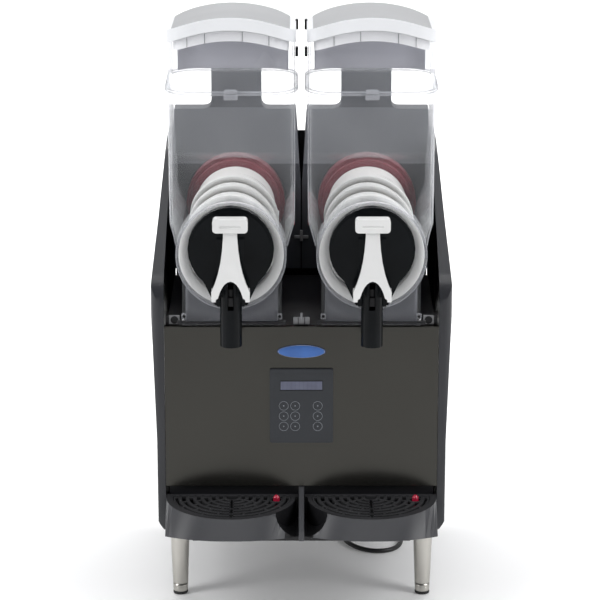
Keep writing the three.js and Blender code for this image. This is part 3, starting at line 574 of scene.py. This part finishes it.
def make_cord():
    points = smooth_path(cord_points(), 1)
    data = bpy.data.curves.new("mains_cord", "CURVE")
    data.dimensions = "3D"
    data.bevel_depth = CORD_D / 2
    data.bevel_resolution = 4
    data.resolution_u = 4
    data.use_fill_caps = True
    spline = data.splines.new("BEZIER")
    spline.bezier_points.add(len(points) - 1)
    for i, (bezier, p) in enumerate(zip(spline.bezier_points, points)):
        bezier.co = p
        behind, ahead = points[max(i - 1, 0)], points[min(i + 1, len(points) - 1)]
        along = (ahead - behind).normalized()
        bezier.handle_left_type = bezier.handle_right_type = "FREE"
        bezier.handle_left = p - along * (p - behind).length / 3
        bezier.handle_right = p + along * (ahead - p).length / 3
    cord = link(bpy.data.objects.new("mains_cord", data))
    data.materials.append(CORD)
    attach(cord, "chassis")
    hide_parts("cord_tube", "cord_coil")
    length = sum((b - a).length for a, b in zip(points, points[1:]))
    print("cord length", round(length, 3))
    return cord


def make_plug():
    """A moulded two-pin plug that lies on its round side, its ribbed grip towards the coil."""
    low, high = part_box("mains_plug")
    y = (low.y + high.y) / 2
    z = 0.0172
    x = low.x
    profile = [
        (0.0, x + 0.0200), (0.0145, x + 0.0200), (0.0162, x + 0.0210), (0.0168, x + 0.0230),
        (0.0168, x + 0.0380), (0.0160, x + 0.0420), (0.0140, x + 0.0460), (0.0110, x + 0.0500),
        (0.0092, x + 0.0530),
    ]
    for k in range(5):
        start = x + 0.0540 + k * 0.0033
        wide = 0.0088 - 0.0008 * k
        profile += [(wide, start), (wide, start + 0.0019), (wide - 0.0014, start + 0.0023),
                    (wide - 0.0014, start + 0.0031)]
    profile += [(0.0046, high.x), (0.0, high.x)]
    body = turned_piece("plug_body", profile, (0, y, z), "X", 40)
    keep(body, "chassis", BLACK_MATT)
    pins = []
    for side in (-1, 1):
        px = [(0.0, x), (0.0014, x + 0.0002), (0.0022, x + 0.0016), (0.0024, x + 0.0040),
              (0.0024, x + 0.0204), (0.0, x + 0.0204)]
        letter = "a" if side < 0 else "b"
        pin = turned_piece(f"plug_pin_{letter}", px, (0, y + side * 0.0095, z), "X", 20)
        keep(pin, "chassis", ROD)
        pins.append(pin)
    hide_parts("mains_plug")
    return [body, *pins]


def declare_cord():
    cord = make_cord()
    plug = make_plug()
    tie = coil_tie()


# ---- Augers ----
def auger_piece(side):
    """The stepped white spiral with its nose ring, spokes, hub and rear collar."""
    name = f"auger_{side}"
    low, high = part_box(name)
    x = (low.x + high.x) / 2
    start, per_turn, turns = low.y + 0.010, 96, 4
    end = high.y
    web = 0.046
    pitch = (end - start - web) / turns
    section = [
        (0.0522, 0.0), (0.0625, 0.0), (0.0637, 0.0004), (0.0640, 0.0016), (0.0640, 0.0100),
        (0.0634, 0.0114), (0.0620, 0.0122), (0.0590, 0.0128), (0.0578, 0.0138), (0.0575, 0.0160),
        (0.0575, web - 0.001), (0.0570, web), (0.0522, web),
    ]
    bm = bmesh.new()
    rings = []
    for i in range(per_turn * turns + 1):
        a = 2 * math.pi * i / per_turn
        y = start + pitch * i / per_turn
        rings.append([
            bm.verts.new((x + r * math.cos(a), y + dy, AXIS_Z + r * math.sin(a)))
            for r, dy in section
        ])
    count = len(section)
    for here, ahead in zip(rings, rings[1:]):
        for k in range(count):
            n = (k + 1) % count
            bm.faces.new((here[k], ahead[k], ahead[n], here[n]))
    bm.faces.new(rings[0])
    bm.faces.new(list(reversed(rings[-1])))
    screw = from_bmesh(f"auger_screw_{side}", bm)
    ring = turned_piece(
        f"auger_nose_{side}",
        [(0.0588, 0.0), (0.0712, 0.0), (0.0718, 0.0006), (0.0720, 0.0016), (0.0720, 0.0114),
         (0.0714, 0.0126), (0.0702, 0.0130), (0.0588, 0.0130), (0.0588, 0.0)],
        (x, low.y, AXIS_Z), "Y", 96)
    collar = turned_piece(
        f"auger_collar_{side}",
        [(0.0523, -0.043), (0.0574, -0.043), (0.0576, -0.042), (0.0576, -0.0012), (0.0568, 0.0),
         (0.0523, 0.0), (0.0523, -0.043)],
        (x, end, AXIS_Z), "Y", 96)
    hub = turned_piece(
        f"auger_hub_{side}",
        [(0.0, 0.001), (0.0120, 0.001), (0.0135, 0.002), (0.0140, 0.004), (0.0140, 0.0160),
         (0.0066, 0.0160), (0.0066, 0.0060), (0.0, 0.0060)],
        (x, low.y, AXIS_Z), "Y", 40)
    parts = [screw, ring, collar, hub]
    for k in range(3):
        spoke = smooth_box(
            f"auger_spoke_{side}_{k}",
            (0.010, low.y + 0.002, -0.005), (0.060, low.y + 0.009, 0.005), 0.0015)
        turn = Matrix.Rotation(-math.radians(120 * k + 30), 4, "Y")
        spoke.data.transform(Matrix.Translation((x, 0, AXIS_Z)) @ turn)
        parts.append(spoke)
    for part in parts:
        keep(part, name, AUGER)
    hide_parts(name)


# ---- Lids ----
LID_HALF_MM, LID_CROWN_MM = 87, 20
LID_RADIUS = (LID_HALF_MM**2 + LID_CROWN_MM**2) / (2 * LID_CROWN_MM) / 1000


def lid_drop(x):
    return LID_RADIUS - math.sqrt(LID_RADIUS**2 - x * x)


def corner_offset(x, straight, radius):
    """How far a plan's rounded corner has left its straight edge at distance x from the middle."""
    past = max(0.0, abs(x) - straight)
    return radius - math.sqrt(max(0.0, radius * radius - past * past))


def lid_details(side, sign):
    cx = sign * BOWL_X
    body = f"lid_{side}"
    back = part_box(f"lid_hood_{side}")[1].y - 0.004 - 0.0046
    columns = 41
    verts, faces = [], []
    for i in range(columns):
        x = -0.077 + 0.154 * i / (columns - 1)
        y = back - corner_offset(x, 0.048, 0.0362)
        top = 0.7985 - lid_drop(x)
        for z in (0.7385, 0.7400, 0.755, top):
            verts.append((cx + x, y + (0.0006 if z == 0.7385 else 0), z))
    for i in range(columns - 1):
        for k in range(3):
            a = i * 4 + k
            faces.append((a, a + 4, a + 5, a + 1))
    panel = mesh_object(f"hood_back_{side}", verts, faces)
    thick = panel.modifiers.new("thickness", "SOLIDIFY")
    thick.thickness = 0.0011
    thick.offset = -1
    keep(panel, body, LILAC)

    front = -0.1223
    for k, x in enumerate((-0.059, -0.035, 0.016, 0.052)):
        x = -sign * x
        y = front + corner_offset(x, 0.048, 0.031)
        top = 0.8195 - lid_drop(x)
        slit = smooth_box(
            f"lamp_slit_{side}_{k}", (cx + x - 0.0003, y - 0.0004, top - 0.0138),
            (cx + x + 0.0003, y + 0.0010, top), 0.0001, 1)
        keep(slit, body, TOWER)

    inner = cx - sign * 0.0876
    for k, (z0, z1) in enumerate(((0.800, 0.814), (0.762, 0.775))):
        x0, x1 = sorted((inner, inner - sign * 0.0040))
        clip = smooth_box(f"lid_clip_{side}_{k}", (x0, -0.006, z0), (x1, 0.004, z1), 0.0008)
        keep(clip, body, BLACK_MATT)


def plan_points(half, y0, y1, radius, z, per=10):
    """A rounded rectangle in plan, as points at height z, about x = 0."""
    points = []
    for cx, cy, a0 in (
        (half - radius, y0 + radius, -90), (half - radius, y1 - radius, 0),
        (radius - half, y1 - radius, 90), (radius - half, y0 + radius, 180),
    ):
        for k in range(per + 1):
            a = math.radians(a0 + 90 * k / per)
            points.append(Vector((cx + radius * math.cos(a), cy + radius * math.sin(a), z)))
    return points


def smooth_line(points, rounds=2):
    """Cuts the corners of an open line."""
    for _ in range(rounds):
        cut = [points[0]]
        for a, b in zip(points, points[1:]):
            cut += [a.lerp(b, 0.25), a.lerp(b, 0.75)]
        points = cut + [points[-1]]
    return points


def circle(x, y, radius, steps=96):
    """Points round the bowl's axis, in a plane that faces forward."""
    turns = (2 * math.pi * k / steps for k in range(steps))
    return [
        Vector((x + radius * math.cos(a), y, AXIS_Z + radius * math.sin(a))) for a in turns
    ]


def clear_bead(name, body, points, radius=BEAD, sides=6, closed=False):
    keep(loop_tube(name, points, radius, sides, closed), body, RIM)


def bowl_details(side, sign):
    """Beads, catches and feet of one bowl and its hood."""
    cx = sign * BOWL_X
    body, lid = f"bowl_{side}", f"lid_{side}"
    shift = Vector((cx, 0, 0))
    ring = circle(cx, BOWL_FRONT + 0.0012, 0.0747)
    clear_bead(f"bowl_ring_{side}", body, ring, 0.0011, 8, True)
    inner = circle(cx, BOWL_FRONT + 0.0045, 0.0725)
    clear_bead(f"bowl_ring_inner_{side}", body, inner, closed=True)
    flange = [p + shift for p in plan_points(0.0904, -0.1334, 0.0354, 0.0415, FLANGE_Z - 0.0016)]
    clear_bead(f"bowl_flange_{side}", body, flange, 0.0012, 8, True)
    rim = [p + shift for p in plan_points(0.0902, -0.1332, 0.0352, 0.0415, FLANGE_Z + 0.0019)]
    clear_bead(f"lid_rim_{side}", lid, rim, 0.0010, 8, True)
    for owner, half, z0, z1 in (
        ("bowl", 0.0095, -0.0078, -0.0002), ("lid", 0.0085, 0.0006, 0.0058),
    ):
        catch = smooth_box(
            f"{owner}_catch_{side}",
            (cx - half, -0.1395, FLANGE_Z + z0), (cx + half, -0.1325, FLANGE_Z + z1), 0.0012)
        keep(catch, f"{owner}_{side}", RIM)
    for k, (px, py) in enumerate(((-1, -0.090), (1, -0.090), (-1, -0.004), (1, -0.004))):
        heights = (FLANGE_Z + 0.003, FLANGE_Z + 0.030, 0.792)
        post = [Vector((cx + px * 0.0866, py, z)) for z in heights]
        clear_bead(f"hood_edge_{side}_{k}", lid, post)
    for k, sx in enumerate((-1, 1)):
        edge = [Vector((cx + sx * x, y, z)) for x, y, z in (
            (0.0768, -0.129, 0.522), (0.0862, -0.092, 0.552), (0.0867, -0.060, 0.600),
            (0.0867, -0.040, 0.660), (0.0867, -0.030, 0.732))]
        clear_bead(f"bowl_corner_{side}_{k}", body, smooth_line(edge))
        slope = [Vector((cx + sx * 0.0862, y, z)) for y, z in (
            (0.1350, 0.520), (0.1350, 0.5830), (0.1015, 0.5995), (0.0315, 0.6755),
            (0.0315, 0.7320))]
        clear_bead(f"bowl_slope_{side}_{k}", body, smooth_line(slope, 1))
    shade_verts, shade_faces = [], []
    steps = 24
    for i in range(steps + 1):
        x = -0.0635 + 0.127 * i / steps
        top = AXIS_Z - math.sqrt(0.0775**2 - x * x)
        shade_verts += [(cx + x, -0.1440, 0.4142), (cx + x, -0.1440, top)]
    for i in range(steps):
        shade_faces.append((2 * i, 2 * i + 2, 2 * i + 3, 2 * i + 1))
    shade_plate = mesh_object(f"skirt_plate_{side}", shade_verts, shade_faces)
    thick = shade_plate.modifiers.new("thickness", "SOLIDIFY")
    thick.thickness = 0.0012
    keep(shade_plate, body, SKIRT)
    for k, dx in enumerate((-0.066, 0.066)):
        nub = smooth_box(
            f"foot_nub_{side}_{k}",
            (cx + dx - 0.0035, -0.1505, 0.4225), (cx + dx + 0.0035, -0.1478, 0.4310), 0.0012)
        keep(nub, body, RIM)
        dot = turned_piece(
            f"foot_pin_{side}_{k}",
            [(0.0, -0.0012), (0.0018, -0.0010), (0.0022, 0.0), (0.0022, 0.0012), (0.0, 0.0012)],
            (cx + dx, -0.1508, 0.4268), "Y", 20)
        keep(dot, body, BLACK_MATT)


# ---- Deck, trays, feet and front ----
def deck_details():
    y = -0.1404
    middle = smooth_box(
        "rail_block_mid", (-0.0115, y - 0.0022, 0.4128), (0.0115, y, 0.4235), 0.0008)
    keep(middle, "chassis", GREY_BLOCK)
    for k, dx in enumerate((-0.0045, 0.0045)):
        groove = smooth_box(
            f"rail_groove_{k}",
            (dx - 0.0005, y - 0.0026, 0.4135), (dx + 0.0005, y - 0.0018, 0.4232), 0.0002, 1)
        keep(groove, "chassis", BLACK_MATT)
    spine = smooth_box(
        "rail_spine", (-0.0016, y - 0.0034, 0.4140), (0.0016, y - 0.0018, 0.4300), 0.0006)
    keep(spine, "chassis", GREY_BLOCK)
    for side, sign in SIDES:
        x = sign * 0.1755
        plate = smooth_box(
            f"rail_end_{side}", (x - 0.0075, y - 0.0020, 0.4130), (x + 0.0075, y, 0.4262), 0.0011)
        keep(plate, "chassis", GREY_BLOCK)
        bore = turned_piece(
            f"rail_bore_{side}",
            [(0.0, -0.0002), (0.0044, -0.0002), (0.0050, -0.0007), (0.0054, -0.0004),
             (0.0054, 0.0008), (0.0, 0.0008)],
            (x, y - 0.0022, 0.4196), "Y", 28)
        # The bore is coloured near-black: painted shade of the hole.
        keep(bore, "chassis", RECESS_PAINTED_SHADE)
        pin = turned_piece(
            f"rail_pin_{side}",
            [(0.0, -0.0014), (0.0014, -0.0012), (0.0018, -0.0004), (0.0018, 0.0008), (0.0, 0.0008)],
            (x - sign * 0.0125, y - 0.0004, 0.4190), "Y", 20)
        keep(pin, "chassis", ROD)
        x0, x1 = sorted((sign * 0.0095, sign * 0.0155))
        strip = smooth_box(
            f"tower_strip_{side}", (x0, 0.1466, 0.480), (x1, 0.1497, 0.530), 0.0008)
        keep(strip, "chassis", RED)
    bar = smooth_box("tower_clip_bar", (-0.0105, 0.1462, 0.4595), (0.0105, 0.1498, 0.4640), 0.0010)
    keep(bar, "chassis", GREY_BLOCK)
    stem = smooth_box(
        "tower_clip_stem", (-0.0022, 0.1455, 0.4555), (0.0022, 0.1498, 0.4720), 0.0010)
    keep(stem, "chassis", GREY_BLOCK)


def grille_piece(side, sign):
    """A disc of rings joined by staggered ribs, cut straight at the back."""
    node = f"drip_grille_{side}"
    low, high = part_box(node)
    cx, cy, back = sign * 0.097, PANEL_FRONT - 0.008, high.y
    z0, z1 = low.z, high.z
    float_at = Vector(((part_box(f"tray_float_{side}")[0].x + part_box(f"tray_float_{side}")[1].x) / 2,
                       (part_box(f"tray_float_{side}")[0].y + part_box(f"tray_float_{side}")[1].y) / 2))
    edges = [0.0085, 0.0135]
    for k in range(6):
        inner = 0.0185 + k * 0.0104
        edges += [inner, inner + 0.0048]
    edges = edges[2:]
    rings = [(0.0085, 0.0130)] + [(edges[i], edges[i + 1]) for i in range(0, len(edges), 2)]
    rings = [(a, b) for a, b in rings if b < 0.0795] + [(0.0795, 0.0820)]
    bm = bmesh.new()

    def block(points):
        """Upper and lower outline joined; the upper one is drawn in a little for a soft edge."""
        centre = sum((Vector(p) for p in points), Vector((0, 0))) / len(points)
        inner = [Vector(p) + (centre - Vector(p)).normalized() * 0.0004 for p in points]
        lower = [bm.verts.new((p[0], p[1], z0)) for p in points]
        upper = [bm.verts.new((p[0], p[1], z1 - 0.0004)) for p in points]
        crown = [bm.verts.new((p.x, p.y, z1)) for p in inner]
        n = len(points)
        for i in range(n):
            j = (i + 1) % n
            bm.faces.new((lower[i], lower[j], upper[j], upper[i]))
            bm.faces.new((upper[i], upper[j], crown[j], crown[i]))
        bm.faces.new(crown)
        bm.faces.new(list(reversed(lower)))

    def clear_of_float(p):
        return (Vector(p) - float_at).length > 0.0068

    for r0, r1 in rings:
        sides = max(24, int(r1 * 1600))
        for i in range(sides):
            a0, a1 = 2 * math.pi * i / sides, 2 * math.pi * (i + 1) / sides
            corners = [
                (cx + r * math.cos(a), cy + r * math.sin(a))
                for r, a in ((r0, a0), (r1, a0), (r1, a1), (r0, a1))
            ]
            corners = [(x, min(y, back)) for x, y in corners]
            area = sum(
                corners[m][0] * corners[(m + 1) % 4][1] - corners[(m + 1) % 4][0] * corners[m][1]
                for m in range(4)
            ) / 2
            if area > 1e-7 and all(clear_of_float(c) for c in corners):
                block(corners)
    for ring, (outer, after) in enumerate(zip(rings, rings[1:])):
        r0, r1 = outer[1] - 0.0003, after[0] + 0.0003
        ribs = 6 if ring < 2 else 12
        for k in range(ribs):
            a = math.pi * 2 * (k + (0.5 if ring % 2 and ribs == 12 else 0)) / ribs - math.pi / 2
            ahead = Vector((math.cos(a), math.sin(a)))
            across = Vector((-ahead.y, ahead.x)) * 0.0016
            middle = Vector((cx, cy))
            corners = [middle + ahead * r0 - across, middle + ahead * r1 - across,
                       middle + ahead * r1 + across, middle + ahead * r0 + across]
            if max(c.y for c in corners) < back and all(clear_of_float(c) for c in corners):
                block([tuple(c) for c in corners])
    half = math.sqrt(0.0815**2 - (back - cy) ** 2)

    def bar(half_width, y0, y1):
        block([(cx - half_width, y0), (cx + half_width, y0),
               (cx + half_width, y1), (cx - half_width, y1)])

    bar(half, back - 0.003, back)
    bar(0.0028, cy - 0.0810, cy - 0.012)
    grille = from_bmesh(f"grille_rings_{side}", bm, smooth=False)
    grille.modifiers.clear()
    keep(grille, f"grille_{side}", GRILLE)
    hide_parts(node)
    collar = turned_piece(
        f"float_collar_{side}",
        [(0.0070, z0), (0.0098, z0), (0.0098, z1 + 0.0002), (0.0092, z1 + 0.0007),
         (0.0074, z1 + 0.0007), (0.0070, z1), (0.0070, z0)],
        (float_at.x, float_at.y, 0), "Z", 36)
    keep(collar, f"grille_{side}", GRILLE)


def paint_faces(obj, extra, chosen):
    """Gives the faces that chosen(centre, normal) picks a second material."""
    obj.data.materials.append(extra)
    index = len(obj.data.materials) - 1
    for polygon in obj.data.polygons:
        if chosen(polygon.center, polygon.normal):
            polygon.material_index = index


def tray_paint():
    for side, sign in SIDES:
        cx, cy = sign * 0.097, PANEL_FRONT - 0.008

        # The scoop's walls get the near-black material: painted shade of the recess between the trays,
        # on the same plastic as the tray.
        def scoop(centre, normal):
            inner = abs(centre.x) < 0.0395 and centre.y < cy
            facing_out = abs(normal.x) > 0.90 and abs(centre.x) < 0.007
            curved = abs(math.hypot(centre.x, centre.z - 0.169) - 0.036) < 0.0012
            round_wall = abs(math.hypot(centre.x - cx, centre.y - cy) - 0.089) < 0.0012
            return inner and not facing_out and (curved or round_wall) and centre.z < 0.1659

        paint_faces(nodes[f"drip_tray_{side}"], RECESS_PAINTED_SHADE, scoop)
        paint_faces(nodes[f"drip_tray_{side}"], GRILLE,
                    lambda centre, normal: normal.z > 0.9 and centre.z > 0.158)
        # Upward faces of the cap get the darker grey: painted shade on its top.
        paint_faces(nodes[f"lid_cap_{side}"], CAP_TOP_PAINTED_SHADE,
                    lambda centre, normal: normal.z > 0.55 and centre.z > 0.815)


def feet():
    for end in ("front", "rear"):
        for side, _ in SIDES:
            node = f"leg_toe_{end}_{side}"
            low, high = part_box(node)
            x, y = (low.x + high.x) / 2, (low.y + high.y) / 2
            body = f"toe_{end}_{side}"
            pad = turned_piece(
                f"toe_pad_{end}_{side}",
                [(0.0, 0.0), (0.0092, 0.0), (0.0101, 0.0005), (0.0105, 0.0015), (0.0105, 0.0040),
                 (0.0100, 0.0046), (0.0, 0.0046)],
                (x, y, 0), "Z", 40)
            keep(pad, body, RUBBER)
            foot = turned_piece(
                f"toe_steel_{end}_{side}",
                [(0.0, 0.0044), (0.0100, 0.0044), (0.0104, 0.0050), (0.0106, 0.0105),
                 (0.0101, 0.0108), (0.0101, 0.0114), (0.0107, 0.0117), (0.0108, 0.0158),
                 (0.0056, 0.0160), (0.0056, 0.0318), (0.0, 0.0320)],
                (x, y, 0), "Z", 40)
            keep(foot, body, STEEL)
            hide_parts(node)


KEY_COLUMNS = (-0.0246, -0.0087, 0.0226)
KEY_ROWS = (0.298, 0.283, 0.268)


def front_details():
    """Membrane keys as plain rings with dots, the display's frame and the oval badge."""
    face = PANEL_FRONT - 0.0024
    for column, x in enumerate(KEY_COLUMNS):
        for row, z in enumerate(KEY_ROWS):
            label = f"{column}_{row}"
            ring = turned_piece(
                f"key_ring_{label}",
                [(0.00610, 0.0), (0.00618, -0.00022), (0.00652, -0.00022), (0.00660, 0.0),
                 (0.00610, 0.0)],
                (x, face, z), "Y", 48)
            keep(ring, "chassis", INK)
            dot = turned_piece(
                f"key_dot_{label}",
                [(0.0, -0.00018), (0.00075, -0.00018), (0.00095, 0.0), (0.0, 0.0)],
                (x, face, z), "Y", 16)
            keep(dot, "chassis", INK)
    frame_low, frame_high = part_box("display_window")
    x0, x1, z0, z1 = frame_low.x, frame_high.x, frame_low.z, frame_high.z
    edge = [Vector(p) for p in (
        (x0 - 0.0002, face - 0.0001, z0), (x1 + 0.0002, face - 0.0001, z0),
        (x1 + 0.0002, face - 0.0001, z1), (x0 - 0.0002, face - 0.0001, z1))]
    border = loop_tube("display_frame", edge, 0.00035, 6, True)
    keep(border, "chassis", BLACK_GLOSS)
    low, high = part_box("badge_plate")
    x, z = (low.x + high.x) / 2, (low.z + high.z) / 2
    half_x, flat = (high.x - low.x) / 2, (high.z - low.z) / (high.x - low.x)
    front = low.y - high.y
    badge = turned_piece(
        "badge_oval",
        [(0.0, front), (half_x - 0.0010, front), (half_x, front * 0.5), (half_x, 0.0), (0.0, 0.0)],
        (x, high.y, z), "Y", 72)
    for v in badge.data.vertices:
        v.co.z = z + (v.co.z - z) * flat
    keep(badge, "chassis", BADGE_BLUE)
    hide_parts("badge_plate")
    wide, tall = half_x - 0.0010, flat * (half_x - 0.0016)
    turns = (2 * math.pi * k / 72 for k in range(72))
    line = [
        Vector((x + wide * math.cos(a), low.y + 0.0001, z + tall * math.sin(a))) for a in turns
    ]
    keep(loop_tube("badge_line", line, 0.00035, 6, True), "chassis", BADGE)


def screw(name, at, axis, out):
    """A domed cross-slot screw head that faces out along an axis."""
    head = turned_piece(
        name,
        [(0.0, out * 0.0016), (0.0010, out * 0.0016), (0.0014, out * 0.0012),
         (0.0026, out * 0.0010), (0.0034, out * 0.0004), (0.0036, 0.0), (0.0, 0.0)],
        at, axis, 28)
    keep(head, "chassis", ROD)


def back_details():
    low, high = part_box("rear_cover")
    for k, (x, z) in enumerate(
        (x, z) for x in (-0.180, 0.0, 0.180) for z in (low.z + 0.012, 0.365, high.z - 0.012)
    ):
        screw(f"cover_screw_{k}", (x, high.y, z), "Y", 1)
    for side, sign in SIDES:
        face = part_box(f"side_shell_{side}")[1].y
        for k, z in enumerate((0.14, 0.58)):
            screw(f"shell_screw_{side}_{k}", (sign * 0.1965, face, z), "Y", 1)


def coil_tie():
    """A black strap round the four strands of the cord's coil."""
    a = math.radians(300)
    ahead = Vector((math.cos(a), math.sin(a), 0))
    middle = COIL + ahead * 0.03995 + Vector((0, 0, 0.0078))
    points = []
    for k in range(40):
        t = 2 * math.pi * k / 40
        across = 0.0074 * (abs(math.cos(t)) ** 0.45) * math.copysign(1, math.cos(t))
        up = 0.0072 * (abs(math.sin(t)) ** 0.45) * math.copysign(1, math.sin(t))
        points.append(middle + ahead * across + Vector((0, 0, up)))
    tie = loop_tube("cord_tie", points, 0.0005, 6, True)
    along = Vector((-ahead.y, ahead.x, 0))
    for v in tie.data.vertices:
        v.co += along * 4.5 * (v.co - middle).dot(along)
    keep(tie, "chassis", BLACK_MATT)
    return tie


# ---- Build ----
make_camera()
make_world((0.30, 0.31, 0.33, 1), (0.80, 0.81, 0.83, 1), 0.45)
make_stage(floor_surface())
area_light("key_left", (-2.6, -1.4, 2.2), (0, 0, 0.45), (1.4, 2.4), 60)
area_light("key_right", (2.6, -1.4, 2.2), (0, 0, 0.45), (1.4, 2.4), 60)
area_light("top", (0, -0.2, 3.4), (0, 0, 0.3), (2.6, 2.2), 40)
area_light("back_wash", (0, 2.6, 3.0), (0, 4.4, 0.0), (4.5, 2.0), 230)
declare_cord()
finish_nodes(skip=("cord_tube", "cord_coil", "mains_plug"))
for side, sign in SIDES:
    auger_piece(side)
    lid_details(side, sign)
    bowl_details(side, sign)
    grille_piece(side, sign)
deck_details()
tray_paint()
feet()
front_details()
back_details()
bpy.context.scene.view_settings.view_transform = "Standard"
